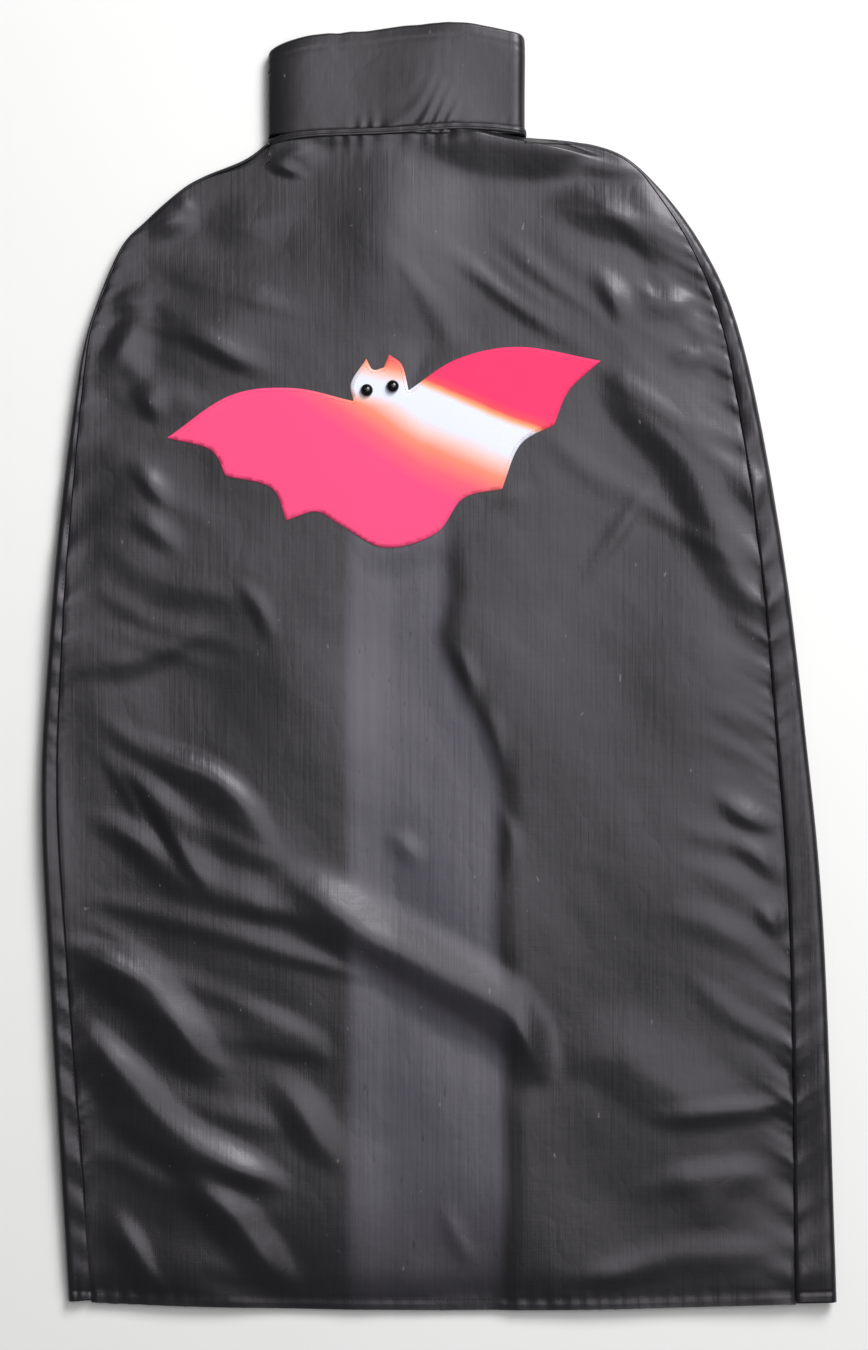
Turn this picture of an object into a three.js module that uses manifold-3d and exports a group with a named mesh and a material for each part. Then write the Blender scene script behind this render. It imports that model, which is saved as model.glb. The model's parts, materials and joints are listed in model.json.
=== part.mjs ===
// A child's costume cape laid flat with its back up: satin body, stand-up collar and bat applique.
// Millimetres, +Z up from the floor, +Y towards the collar. Cloths are drawn thicker than real cloth.
import * as THREE from "three";
import * as BufferGeometryUtils from "three/addons/utils/BufferGeometryUtils.js";
import Module from "manifold-3d";

const wasm = await Module();
wasm.setup();

// Cloth thicknesses and clearances
const CLOTH = 1.2;              // body cloth
const COLLAR_CLOTH = 0.8;       // each of the three layers of the collar
const GAP = 0.3;                // clearance between touching pieces
const THREAD_WIDTH = 0.8;
const THREAD_HEIGHT = 0.4;

// Body of the cape
const CAPE_LENGTH = 894;        // neck seam to the corners of the hem
const HEM_WIDTH = 591;          // fold to fold along the hem
const HEM_SHIFT = 43;           // how far the hem lies to the right of the neck
const HEM_SAG = 7;              // how far the middle of the hem hangs below its corners
const HEM_DEPTH = 8;            // turned hem, up to its stitch line
const FRONT_HEM_DEPTH = 12;     // turned edge of the front openings
const FRONT_GAP = 48;           // between the two fronts at the neck
const BODY_SPACE = 5;           // clear height between the fronts and the back
const LEFT_WRAP = 18;           // how far the left front wraps onto the back at the hem
const RIGHT_WRAP = 31;
const LEFT_WRAP_START = 0.155;  // share of the length at which the seam leaves the fold
const RIGHT_WRAP_START = 0.025;

// Flaps: the part of each front that folds open about a line from the neck to the hem's corner
const LIP_WIDTH = 2.7;          // raised cloth along the fold line
const LIP_TOP_SETBACK = 18;     // lip starts this far below the neck
const LIP_HEM_SETBACK = 6;

// Collar
const COLLAR_WIDTH = 197;       // flattened, fold to fold
const COLLAR_HEIGHT = 70;       // at the side folds, above the binding
const COLLAR_RISE = 16;         // extra height at the middle
const COLLAR_DEPTH = 14;        // flattened collar, front to back
const BINDING_HEIGHT = 4.6;
const BINDING_CLOTH = 2.4;
const PATCH_THICKNESS = 1;
const PATCH_LENGTH = 45;
const PATCH_WIDTH = 20;
const PATCH_SETBACK = 4;        // from the collar's front edge
const PATCH_LIFT = 24;          // from the collar's lower edge
const PATCH_STITCH_INSET = 2;

// Bat and its eyes
const BAT_SPAN = 334;           // tip to tip along X
const BAT_X = -10;              // bat's middle, from the neck's middle
const BAT_DROP = 237;           // bat's middle below the neck seam
const BACKING_SCALE = 0.985;
const STITCH_SCALE = 0.975;
const STITCH_INNER_SCALE = 0.966;
const EYE_RADIUS = 4.8;
const EYE_HEIGHT = 3.6;
const EYE_RIM = 0.6;
const SHANK_RADIUS = 1.5;
const SHANK_HOLE = 1.8;
const WASHER_RADIUS = 5;
const WASHER_THICKNESS = 1;
const EYES = [
  { name: "left_eye", x: -13, y: 45 },
  { name: "right_eye", x: 7, y: 48 },
];

// Heights of the layers above the floor
const FOLD_Z = CLOTH + GAP;                          // axis about which a flap folds open
const FRONT_Z = 2 * FOLD_Z + GAP;                    // fronts lie above a flap that is folded open
const BACK_Z = FRONT_Z + CLOTH + BODY_SPACE;
const BACK_TOP = BACK_Z + CLOTH;
const BACKING_Z = BACK_TOP + GAP;
const BACKING_THICKNESS = 0.6;
const BAT_Z = BACKING_Z + BACKING_THICKNESS + GAP;
const BAT_THICKNESS = 0.8;
const EYE_Z = BAT_Z + BAT_THICKNESS + GAP;
const WASHER_Z = BACK_Z - GAP - WASHER_THICKNESS;
const COLLAR_Z = PATCH_THICKNESS + GAP;
const COLLAR_MID_Z = COLLAR_Z + COLLAR_DEPTH / 2;
const COLLAR_BASE = GAP + BINDING_HEIGHT + GAP;      // collar's lower edge above the neck seam

// The side folds, as [share of the way out to the hem's corner, share of the way down]
const LEFT_PROFILE = [
  [0, 0], [0.36, 0.025], [0.75, 0.09], [0.97, 0.22], [1.1, 0.43], [1.14, 0.56], [1.1, 0.72], [1, 1],
];
const RIGHT_PROFILE = [
  [0, 0], [0.22, 0.002], [0.38, 0.025], [0.57, 0.09], [0.7, 0.175], [0.82, 0.34], [0.9, 0.51], [0.96, 0.69], [1, 1],
];
const SIDE_STEPS = 30;

// The opening edges of the fronts, as [sideways from the neck's middle, share of the way down]
const LEFT_EDGE = [[-FRONT_GAP / 2, 0], [-30, 0.15], [-38, 0.4], [-38, 1]];
const RIGHT_EDGE = [[FRONT_GAP / 2, 0], [28, 0.13], [48, 0.4], [62, 0.53], [79, 0.6], [92, 0.82], [105, 1]];
const EDGE_STEPS = 14;

// The bat's outline in percent of half its span, each run smooth and meeting the next in a corner
const BAT_RUNS = [
  [[-100, 5], [-71, 24.5], [-42, 28], [-14, 22]],
  [[-14, 22], [-15, 30.5], [-8, 41.5]],
  [[-8, 41.5], [-5, 36.5], [0, 37.5]],
  [[0, 37.5], [2.5, 43.5]],
  [[2.5, 43.5], [8.5, 38.5], [11.5, 27]],
  [[11.5, 27], [34, 41.5], [63, 47], [100, 40.5]],
  [[100, 40.5], [85.5, 27], [78.5, 11]],
  [[78.5, 11], [63, 2], [54.5, -18.5]],
  [[54.5, -18.5], [36.5, -23], [24, -39], [0.5, -45.5], [-20, -35], [-31, -29], [-45, -33]],
  [[-45, -33], [-52, -18], [-73, -12.5]],
  [[-73, -12.5], [-80, -0.5], [-100, 5]],
];
const RUN_STEPS = 3;            // points per stretch of a run

const satin = new THREE.MeshStandardMaterial({ color: 0x3c3a3e, roughness: 0.42, metalness: 0 });
const lining = new THREE.MeshStandardMaterial({ color: 0x4a484d, roughness: 0.5, metalness: 0 });
const stiffener = new THREE.MeshStandardMaterial({ color: 0xd8d6d0, roughness: 0.9, metalness: 0 });
const print = new THREE.MeshStandardMaterial({ color: 0xff5f8c, roughness: 0.75, metalness: 0 });
const gloss = new THREE.MeshStandardMaterial({ color: 0x08080a, roughness: 0.08, metalness: 0 });
const washerPlastic = new THREE.MeshStandardMaterial({ color: 0xe8e8e8, roughness: 0.5, metalness: 0 });
const fastener = new THREE.MeshStandardMaterial({ color: 0x19191b, roughness: 0.95, metalness: 0 });
const thread = new THREE.MeshStandardMaterial({ color: 0x1c1b1e, roughness: 0.6, metalness: 0 });
const pinkThread = new THREE.MeshStandardMaterial({ color: 0xe0507a, roughness: 0.6, metalness: 0 });

const cape = new THREE.Group();

function toSolid(geometry) {
  const bare = geometry.clone();
  bare.deleteAttribute("normal");
  bare.deleteAttribute("uv");
  const merged = BufferGeometryUtils.mergeVertices(bare);
  return new wasm.Manifold(new wasm.Mesh({
    numProp: 3,
    vertProperties: new Float32Array(merged.attributes.position.array),
    triVerts: new Uint32Array(merged.index.array),
  }));
}

function addNode(name, solid, material) {
  const mesh = solid.getMesh();
  const geometry = new THREE.BufferGeometry();
  geometry.setAttribute("position", new THREE.BufferAttribute(mesh.vertProperties, 3));
  geometry.setIndex(new THREE.BufferAttribute(mesh.triVerts, 1));
  geometry.computeVertexNormals();
  const node = new THREE.Mesh(geometry, material);
  node.name = name;
  cape.add(node);
}

// A flat outline raised from one height by a thickness
function prism(outline, bottom, height) {
  const shape = new THREE.Shape(outline);
  const geometry = new THREE.ExtrudeGeometry(shape, { depth: height, bevelEnabled: false });
  return toSolid(geometry.translate(0, 0, bottom));
}

function disc(radius, bottom, height, x, y) {
  const geometry = new THREE.CylinderGeometry(radius, radius, height, 20).rotateX(Math.PI / 2);
  return toSolid(geometry.translate(x, y, bottom + height / 2));
}

function spline(points, steps) {
  return new THREE.SplineCurve(points.map(([x, y]) => new THREE.Vector2(x, y))).getSpacedPoints(steps);
}

// A line beside another one; the amount may change along it, and is positive to the left of travel
function beside(points, amount) {
  const last = points.length - 1;
  return points.map((point, i) => {
    const along = points[Math.min(i + 1, last)].clone().sub(points[Math.max(i - 1, 0)]).normalize();
    const distance = typeof amount === "function" ? amount(point) : amount;
    return new THREE.Vector2(point.x - along.y * distance, point.y + along.x * distance);
  });
}

// A sewn thread as a flat ribbon along a line
function ribbon(line, bottom) {
  const half = THREAD_WIDTH / 2;
  const outline = [...beside(line, -half), ...beside(line, half).reverse()];
  return prism(outline, bottom, THREAD_HEIGHT);
}

function lineBetween(from, to, steps) {
  return Array.from({ length: steps + 1 }, (_, i) => from.clone().lerp(to, i / steps));
}

function hemY(x) {
  const across = (x - HEM_SHIFT) / (HEM_WIDTH / 2);
  return -CAPE_LENGTH - HEM_SAG * (1 - across * across);
}

// The hem from one side to the other, raised by a distance
function hemLine(fromX, toX, raise) {
  const steps = 10;
  return Array.from({ length: steps + 1 }, (_, i) => {
    const x = fromX + (toX - fromX) * i / steps;
    return new THREE.Vector2(x, hemY(x) + raise);
  });
}

function sideOf(sign, profile, edge, wrap, wrapStart) {
  const neckX = sign * COLLAR_WIDTH / 2;
  const hemX = HEM_SHIFT + sign * HEM_WIDTH / 2;
  const fold = spline(profile.map(([out, down]) => [neckX + out * (hemX - neckX), -down * CAPE_LENGTH]), SIDE_STEPS);
  const opening = spline(edge.map(([x, down]) => [x, -down * CAPE_LENGTH]), EDGE_STEPS);
  const foot = opening[opening.length - 1];
  foot.y = hemY(foot.x);
  const wrapAt = (point) => {
    const down = -point.y / CAPE_LENGTH;
    const share = Math.max(0, (down - wrapStart) / (1 - wrapStart));
    return Math.max(CLOTH, wrap * Math.sqrt(share));
  };
  return { sign, fold, opening, wrapAt };
}

// Inwards is to the left of travel on the left side, where the fold runs from the neck down
function inward(side, distance) {
  const amount = typeof distance === "function" ? (point) => -side.sign * distance(point) : -side.sign * distance;
  return beside(side.fold, amount);
}

function addFront(side, name) {
  const { sign, fold, opening } = side;
  const corner = fold[fold.length - 1];
  const apex = opening[0];
  const innerFold = inward(side, CLOTH + GAP);
  addNode(`${name}_front_panel`, prism([...innerFold, apex], FRONT_Z, CLOTH), satin);

  // The cloth that turns round the side fold and onto the back, up to the side seam
  const seam = inward(side, side.wrapAt);
  const wall = prism([...fold, ...inward(side, CLOTH).reverse()], FRONT_Z, BACK_TOP - FRONT_Z);
  const wrap = prism([...fold, ...seam.reverse()], BACK_Z, CLOTH);
  addNode(`${name}_front_fold`, wall.add(wrap), satin);

  // The flap lies on the floor; its raised lip reaches up to the fold line
  const down = corner.clone().sub(apex).normalize();
  const across = new THREE.Vector2(-down.y, down.x).multiplyScalar(-sign);
  const onFold = (along, out) => apex.clone().addScaledVector(down, along).addScaledVector(across, out);
  const foldLength = corner.distanceTo(apex);
  const foot = opening[opening.length - 1];
  const hem = hemLine(foot.x, corner.x - sign * GAP, 0);
  const start = opening.slice(1);
  const flapOutline = [onFold(LIP_TOP_SETBACK, GAP), ...start, ...hem.slice(1, -1), onFold(foldLength - GAP, GAP)];
  const lipOutline = [
    onFold(LIP_TOP_SETBACK, GAP), onFold(LIP_TOP_SETBACK, GAP + LIP_WIDTH),
    onFold(foldLength - LIP_HEM_SETBACK, GAP + LIP_WIDTH), onFold(foldLength - LIP_HEM_SETBACK, GAP),
  ];
  const lip = prism(lipOutline, 0, FRONT_Z - GAP);
  addNode(`${name}_front_flap`, prism(flapOutline, 0, CLOTH).add(lip), satin);

  const stitchZ = CLOTH + GAP;
  const edgeStitch = beside(start.slice(1), sign * FRONT_HEM_DEPTH);
  const hemEnd = corner.x - sign * FRONT_HEM_DEPTH * 3;
  const hemStitch = hemLine(foot.x + sign * FRONT_HEM_DEPTH * 2, hemEnd, HEM_DEPTH);
  const raised = edgeStitch.slice(0, -1);
  addNode(`${name}_front_edge_thread`, ribbon(raised, stitchZ), thread);
  addNode(`${name}_hem_thread`, ribbon(hemStitch, stitchZ), thread);

  const seamLine = inward(side, (point) => side.wrapAt(point) + GAP / 2);
  addNode(`${name}_side_seam_thread`, ribbon(seamLine.slice(1, -1), BACK_TOP + GAP), thread);
}

const left = sideOf(-1, LEFT_PROFILE, LEFT_EDGE, LEFT_WRAP, LEFT_WRAP_START);
const right = sideOf(1, RIGHT_PROFILE, RIGHT_EDGE, RIGHT_WRAP, RIGHT_WRAP_START);

const shankHoles = EYES.map(({ x, y }) => {
  return disc(SHANK_HOLE, WASHER_Z - GAP, EYE_Z - WASHER_Z + GAP, BAT_X + x, y - BAT_DROP);
});
const drilled = (solid) => shankHoles.reduce((rest, hole) => rest.subtract(hole), solid);

function addBackPanel() {
  const leftSeam = inward(left, (point) => left.wrapAt(point) + GAP);
  const rightSeam = inward(right, (point) => right.wrapAt(point) + GAP);
  const leftFoot = leftSeam.pop();
  const rightFoot = rightSeam.pop();
  const outline = [...leftSeam, ...hemLine(leftFoot.x, rightFoot.x, 0), ...rightSeam.reverse()];
  addNode("back_panel", drilled(prism(outline, BACK_Z, CLOTH)), satin);
  const stitch = hemLine(leftFoot.x + THREAD_WIDTH * 2, rightFoot.x - THREAD_WIDTH * 2, HEM_DEPTH);
  addNode("back_hem_thread", ribbon(stitch, BACK_TOP + GAP), thread);
}

// Cross-section of the flattened collar: a long ring, open at the front, which lies underneath
function collarSection(inset, thickness, openHalf) {
  const path = (radius) => {
    const straight = (COLLAR_WIDTH - COLLAR_DEPTH) / 2;
    const curve = new THREE.Path();
    curve.moveTo(-openHalf, -radius);
    curve.lineTo(-straight, -radius);
    curve.absarc(-straight, 0, radius, -Math.PI / 2, Math.PI / 2, true);
    curve.lineTo(straight, radius);
    curve.absarc(straight, 0, radius, Math.PI / 2, -Math.PI / 2, true);
    curve.lineTo(openHalf, -radius);
    return curve.getPoints(5);
  };
  const outer = path(COLLAR_DEPTH / 2 - inset);
  const inner = path(COLLAR_DEPTH / 2 - inset - thickness);
  return new THREE.Shape([...outer, ...inner.reverse()]);
}

function collarTube(section, base, height) {
  const geometry = new THREE.ExtrudeGeometry(section, { depth: height, bevelEnabled: false });
  return toSolid(geometry.rotateX(Math.PI / 2).translate(0, base + height, COLLAR_MID_Z));
}

function addCollar() {
  const half = COLLAR_WIDTH / 2 + GAP;
  const shoulder = COLLAR_BASE + COLLAR_HEIGHT;
  const arc = new THREE.QuadraticBezierCurve(
    new THREE.Vector2(half, shoulder),
    new THREE.Vector2(0, shoulder + 2 * COLLAR_RISE),
    new THREE.Vector2(-half, shoulder),
  ).getPoints(12);
  const trim = prism([new THREE.Vector2(-half, 0), new THREE.Vector2(half, 0), ...arc], 0, COLLAR_Z + COLLAR_DEPTH + GAP);
  const layers = [["collar_outer", satin], ["collar_interfacing", stiffener], ["collar_inner", lining]];
  layers.forEach(([name, material], i) => {
    const section = collarSection(i * (COLLAR_CLOTH + GAP), COLLAR_CLOTH, FRONT_GAP / 2);
    const tube = collarTube(section, COLLAR_BASE, COLLAR_HEIGHT + COLLAR_RISE);
    addNode(name, tube.intersect(trim), material);
  });
  const binding = collarSection(0, BINDING_CLOTH, FRONT_GAP / 2);
  addNode("collar_binding", collarTube(binding, GAP, BINDING_HEIGHT), satin);
  const reach = COLLAR_WIDTH / 2 - COLLAR_DEPTH;
  const bandMiddle = GAP + BINDING_HEIGHT / 2;
  const stitch = lineBetween(new THREE.Vector2(-reach, bandMiddle), new THREE.Vector2(reach, bandMiddle), 4);
  addNode("collar_binding_thread", ribbon(stitch, COLLAR_Z + COLLAR_DEPTH + GAP), thread);
}

// Rectangle given by its nearest edge to the front opening, on one side of it
function patchOutline(sign, inset) {
  const nearX = sign * (FRONT_GAP / 2 + PATCH_SETBACK + inset);
  const farX = sign * (FRONT_GAP / 2 + PATCH_SETBACK + PATCH_LENGTH - inset);
  const low = COLLAR_BASE + PATCH_LIFT + inset;
  const high = COLLAR_BASE + PATCH_LIFT + PATCH_WIDTH - inset;
  return [[nearX, low], [farX, low], [farX, high], [nearX, high]].map(([x, y]) => new THREE.Vector2(x, y));
}

function addPatch(name, sign, bottom, stitchBottom) {
  addNode(name, prism(patchOutline(sign, 0), bottom, PATCH_THICKNESS), fastener);
  const outer = prism(patchOutline(sign, PATCH_STITCH_INSET), stitchBottom, THREAD_HEIGHT);
  const inner = prism(patchOutline(sign, PATCH_STITCH_INSET + THREAD_WIDTH), stitchBottom, THREAD_HEIGHT);
  addNode(`${name}_thread`, outer.subtract(inner), thread);
}

function addFastening() {
  const collarWall = 3 * COLLAR_CLOTH + 2 * GAP;
  const insideZ = COLLAR_Z + collarWall + GAP;
  addPatch("loop_patch", -1, insideZ, insideZ + PATCH_THICKNESS + GAP);
  addPatch("hook_patch", 1, 0, insideZ);
}

function batOutline(scale) {
  const unit = BAT_SPAN / 200 * scale;
  return BAT_RUNS.flatMap((run) => {
    const points = run.map(([x, y]) => [BAT_X + x * unit, y * unit - BAT_DROP]);
    return spline(points, (run.length - 1) * RUN_STEPS).slice(0, -1);
  });
}

function addBat() {
  addNode("bat_backing", drilled(prism(batOutline(BACKING_SCALE), BACKING_Z, BACKING_THICKNESS)), stiffener);
  addNode("bat_applique", drilled(prism(batOutline(1), BAT_Z, BAT_THICKNESS)), print);
  const outer = prism(batOutline(STITCH_SCALE), EYE_Z, THREAD_HEIGHT);
  const inner = prism(batOutline(STITCH_INNER_SCALE), EYE_Z, THREAD_HEIGHT);
  addNode("bat_edge_thread", outer.subtract(inner), pinkThread);
}

function addEye({ name, x, y }) {
  const steps = 6;
  const dome = Array.from({ length: steps }, (_, i) => {
    const angle = Math.PI / 2 * (i / steps);
    return new THREE.Vector2(EYE_RADIUS * Math.cos(angle), EYE_RIM + EYE_HEIGHT * Math.sin(angle));
  });
  const shankEnd = WASHER_Z - EYE_Z;
  const profile = [
    new THREE.Vector2(0, shankEnd), new THREE.Vector2(SHANK_RADIUS, shankEnd), new THREE.Vector2(SHANK_RADIUS, 0),
    new THREE.Vector2(EYE_RADIUS, 0), ...dome, new THREE.Vector2(0, EYE_RIM + EYE_HEIGHT),
  ];
  const geometry = new THREE.LatheGeometry(profile, 20).rotateX(Math.PI / 2);
  const [eyeX, eyeY] = [BAT_X + x, y - BAT_DROP];
  addNode(name, toSolid(geometry.translate(eyeX, eyeY, EYE_Z)), gloss);
  const washer = disc(WASHER_RADIUS, WASHER_Z, WASHER_THICKNESS, eyeX, eyeY);
  const hole = disc(SHANK_HOLE, WASHER_Z - GAP, WASHER_THICKNESS + 2 * GAP, eyeX, eyeY);
  addNode(`${name}_washer`, washer.subtract(hole), washerPlastic);
}

addBackPanel();
addFront(left, "left");
addFront(right, "right");
addCollar();
addFastening();
addBat();
EYES.forEach(addEye);

// The row's origin is the middle of the cape's footprint, on the floor
const footprint = new THREE.Box3().setFromObject(cape);
const middle = footprint.getCenter(new THREE.Vector3());
cape.position.set(-middle.x, -middle.y, -footprint.min.z);

export default cape;
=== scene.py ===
"""A child's satin costume cape, laid flat on the floor with its back up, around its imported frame."""
import json
import math

import bpy
import numpy as np
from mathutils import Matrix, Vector
from mathutils.geometry import delaunay_2d_cdt


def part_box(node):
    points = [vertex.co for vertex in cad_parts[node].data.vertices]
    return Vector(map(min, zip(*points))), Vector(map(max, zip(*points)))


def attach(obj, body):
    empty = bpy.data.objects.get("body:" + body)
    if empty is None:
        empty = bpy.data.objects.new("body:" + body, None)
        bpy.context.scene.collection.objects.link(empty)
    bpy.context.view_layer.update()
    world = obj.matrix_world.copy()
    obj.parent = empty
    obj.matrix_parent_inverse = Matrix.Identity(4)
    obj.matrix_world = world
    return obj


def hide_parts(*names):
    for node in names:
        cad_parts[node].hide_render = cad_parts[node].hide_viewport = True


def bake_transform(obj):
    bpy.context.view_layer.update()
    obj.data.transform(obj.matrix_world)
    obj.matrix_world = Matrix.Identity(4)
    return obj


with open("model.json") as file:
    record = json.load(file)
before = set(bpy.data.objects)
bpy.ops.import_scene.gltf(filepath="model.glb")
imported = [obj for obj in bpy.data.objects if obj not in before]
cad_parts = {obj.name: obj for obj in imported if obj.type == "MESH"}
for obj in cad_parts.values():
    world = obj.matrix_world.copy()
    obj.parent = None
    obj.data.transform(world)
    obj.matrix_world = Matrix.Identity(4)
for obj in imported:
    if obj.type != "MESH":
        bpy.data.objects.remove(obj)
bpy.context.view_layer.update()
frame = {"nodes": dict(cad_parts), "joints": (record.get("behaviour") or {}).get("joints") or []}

# ---------- sizes, in millimetres
MM = 0.001


def box_mm(node):
    low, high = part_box(node)
    return np.array(low) / MM, np.array(high) / MM


back_low, back_high = box_mm("back_panel")
collar_low, collar_high = box_mm("collar_outer")
binding_low, binding_high = box_mm("collar_binding")
bat_low, bat_high = box_mm("bat_applique")
joints = {joint["name"]: joint for joint in frame["joints"]}

CLOTH = 0.6                       # drawn thickness of the satin
TOP = back_high[2]                # upper face of the back
UNDER = box_mm("left_front_panel")[1][2] - 0.4   # upper face of the front cloth under the back
FLOOR_LAYER = 0.9                 # upper face of the front cloth where it lies on the floor
NECK_X = (collar_low[0] + collar_high[0]) / 2
NECK_Y = back_high[1]
HEM_Y = box_mm("left_front_fold")[0][1]          # corners of the hem
HEM_SAG = HEM_Y - back_low[1]     # how much lower the middle of the hem lies than its corners
CAPE_DROP = NECK_Y - HEM_Y        # from the neck seam down to the hem's corners
BACK_WIDTH = 560                  # about, between the side seams
FRONT_WIDTH = 260                 # about, from a side fold to that front's opening edge
LEAST_ABOVE = 1.6                 # the least that the back lies above the front cloth's upper face
HEM_DEPTH = 8.0                   # turned hem, up to its stitches
HEM_FALL = 2.4                    # how much lower the hem lies than the rest of the back
NECK_CLIMB = 9                    # length over which the back climbs to the collar's band
FRONT_HEM_DEPTH = 12.0            # turned edge of each front
COLLAR_DEPTH = collar_high[2] - collar_low[2]
COLLAR_MID_Z = (collar_low[2] + collar_high[2]) / 2
COLLAR_BASE = collar_low[1]
BAND_HEIGHT = binding_high[1] - binding_low[1]
BAT_HALF_SPAN = (bat_high[0] - bat_low[0]) / 2
BAT_X = (bat_low[0] + bat_high[0]) / 2
BAT_Y = bat_high[1] - 0.47 * BAT_HALF_SPAN       # the wings' tops stand this far above its middle
FAR = 1e9                         # farther than any place on the cape


def hinge(name):
    """A joint's point and direction in plan, in millimetres."""
    joint = joints[name]
    return np.array(joint["pos_m"][:2]) / MM, np.array(joint["axis"][:2])


# ---------- small maths helpers
def step(low, high, value):
    """0 below low, 1 above high, smooth between."""
    t = np.clip((value - low) / (high - low), 0, 1)
    return t * t * (3 - 2 * t)


def reach_along(line):
    """How far along a line each of its points lies."""
    return np.concatenate([[0], np.cumsum(np.linalg.norm(np.diff(line, axis=0), axis=1))])


def smooth_line(points, count):
    """A smooth curve through the points, cut into evenly spaced ones, or at given shares of its length."""
    points = np.array(points, float)
    padded = np.vstack([2 * points[0] - points[1], points, 2 * points[-1] - points[-2]])
    t = np.linspace(0, 1, 12, endpoint=False)[:, None]
    parts = []
    for i in range(1, len(padded) - 2):
        a, b, c, d = padded[i - 1 : i + 3]
        bend, twist = 2 * a - 5 * b + 4 * c - d, 3 * b - a - 3 * c + d
        parts.append(0.5 * (2 * b + (c - a) * t + bend * t**2 + twist * t**3))
    curve = np.vstack([*parts, points[-1:]])
    reach = reach_along(curve)
    shares = np.linspace(0, 1, count) if np.isscalar(count) else np.asarray(count)
    wanted = shares * reach[-1]
    return np.stack([np.interp(wanted, reach, curve[:, k]) for k in range(curve.shape[1])], axis=1)


def normals_of(line):
    """Unit normals to the left of travel along a plan line."""
    along = np.gradient(line, axis=0)
    along /= np.linalg.norm(along, axis=1, keepdims=True)
    return np.stack([-along[:, 1], along[:, 0]], axis=1)


def from_path(path, x, y):
    """Each place's sideways distance from a path, left of travel positive, and the share along it."""
    line = smooth_line(path, 22)
    lengths = np.linalg.norm(np.diff(line, axis=0), axis=1)
    reach = np.concatenate([[0], np.cumsum(lengths)])
    best = np.full(x.shape, FAR)
    side = np.zeros(x.shape)
    share = np.zeros(x.shape)
    for i, length in enumerate(lengths):
        along = (line[i + 1] - line[i]) / length
        dx, dy = x - line[i, 0], y - line[i, 1]
        t = np.clip(dx * along[0] + dy * along[1], 0, length)
        distance = np.hypot(dx - t * along[0], dy - t * along[1])
        nearer = distance < best
        best = np.where(nearer, distance, best)
        sign = np.where(along[0] * dy - along[1] * dx >= 0, 1.0, -1.0)
        side = np.where(nearer, sign * distance, side)
        share = np.where(nearer, (reach[i] + t) / reach[-1], share)
    return side, share


def distance_to(line, x, y):
    """How far each place lies from a line of points in plan."""
    nearest = np.full(x.shape, FAR)
    for (ax, ay), (bx, by) in zip(line, line[1:]):
        ux, uy = bx - ax, by - ay
        t = np.clip(((x - ax) * ux + (y - ay) * uy) / math.hypot(ux, uy) ** 2, 0, 1)
        nearest = np.minimum(nearest, np.hypot(x - ax - t * ux, y - ay - t * uy))
    return nearest


def ripples(seed, count, shortest, longest, height):
    """A gentle random unevenness: a sum of sine waves in all directions."""
    rng = np.random.default_rng(seed)
    waves = []
    for _ in range(count):
        length = math.exp(rng.uniform(math.log(shortest), math.log(longest)))
        turn = rng.uniform(0, math.tau)
        phase = rng.uniform(0, math.tau)
        pace = math.tau / length
        size = height * math.sqrt(length / longest) / math.sqrt(count)
        waves.append((pace * math.cos(turn), pace * math.sin(turn), phase, size))
    return lambda x, y: sum(size * np.sin(kx * x + ky * y + phase) for kx, ky, phase, size in waves)


broad_ripples = ripples(4, 9, 110, 300, 2.2)
fine_ripples = ripples(11, 24, 30, 100, 0.15)
fold_wander = ripples(23, 14, 70, 220, 4.0)

# ---------- outlines of the cape
# The side folds, from the collar down to the hem's corners: shares of the way out, and of the way down
LEFT_PROFILE = [
    (0, 0), (0.12, 0.015), (0.32, 0.029), (0.44, 0.041), (0.61, 0.067), (0.75, 0.094), (0.9, 0.16),
    (0.97, 0.22), (1.05, 0.33), (1.1, 0.43), (1.14, 0.56), (1.1, 0.72), (1, 1),
]
RIGHT_PROFILE = [
    (0, 0), (0.22, 0.002), (0.38, 0.025), (0.57, 0.09), (0.7, 0.175), (0.82, 0.34), (0.9, 0.51),
    (0.96, 0.69), (1, 1),
]
# The fronts' opening edges: distance to the right of the neck's middle, and share of the way down
LEFT_EDGE = [(-24, 0), (-28, 0.12), (-37, 0.3), (-40, 0.5), (-38, 0.75), (-38, 1)]
RIGHT_EDGE = [
    (24, 0), (27, 0.13), (42, 0.36), (41, 0.4), (37, 0.43), (55, 0.475), (76, 0.52), (83, 0.566),
    (81, 0.62), (80, 0.68), (87, 0.75), (86, 0.82), (87, 0.9), (82, 1),
]


def hem_y(x):
    left, right = corner_of("left"), corner_of("right")
    across = (x - (left[0] + right[0]) / 2) / ((right[0] - left[0]) / 2)
    return HEM_Y - HEM_SAG * (1 - across**2)


def corner_of(side):
    """The hem's corner, where the line that the front folds on ends."""
    point, along = hinge(f"{side}_front_open")
    return point + along * (HEM_Y - point[1]) / along[1]


def side_fold(side, spots):
    neck = collar_low[0] if side == "left" else collar_high[0]
    hem = corner_of(side)[0]
    profile = LEFT_PROFILE if side == "left" else RIGHT_PROFILE
    points = [(neck + out * (hem - neck), NECK_Y - down * CAPE_DROP) for out, down in profile]
    return smooth_line(points, spots)


# How wide each front wraps over its side fold at the hem, and the share of the way down where it starts
WRAPS = {"left": (18.0, 0.155), "right": (31.0, 0.025)}
NARROWEST_WRAP = 1.5


def wrap_width(side, y):
    width, start = WRAPS[side]
    down = (NECK_Y - y) / CAPE_DROP
    return np.maximum(NARROWEST_WRAP, width * np.sqrt(np.clip((down - start) / (1 - start), 0, 1)))


def inward_of(side, line):
    return normals_of(line) * (1 if side == "left" else -1)


def side_seam(side, spots):
    line = side_fold(side, spots)
    return line + inward_of(side, line) * wrap_width(side, line[:, 1])[:, None]


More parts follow.
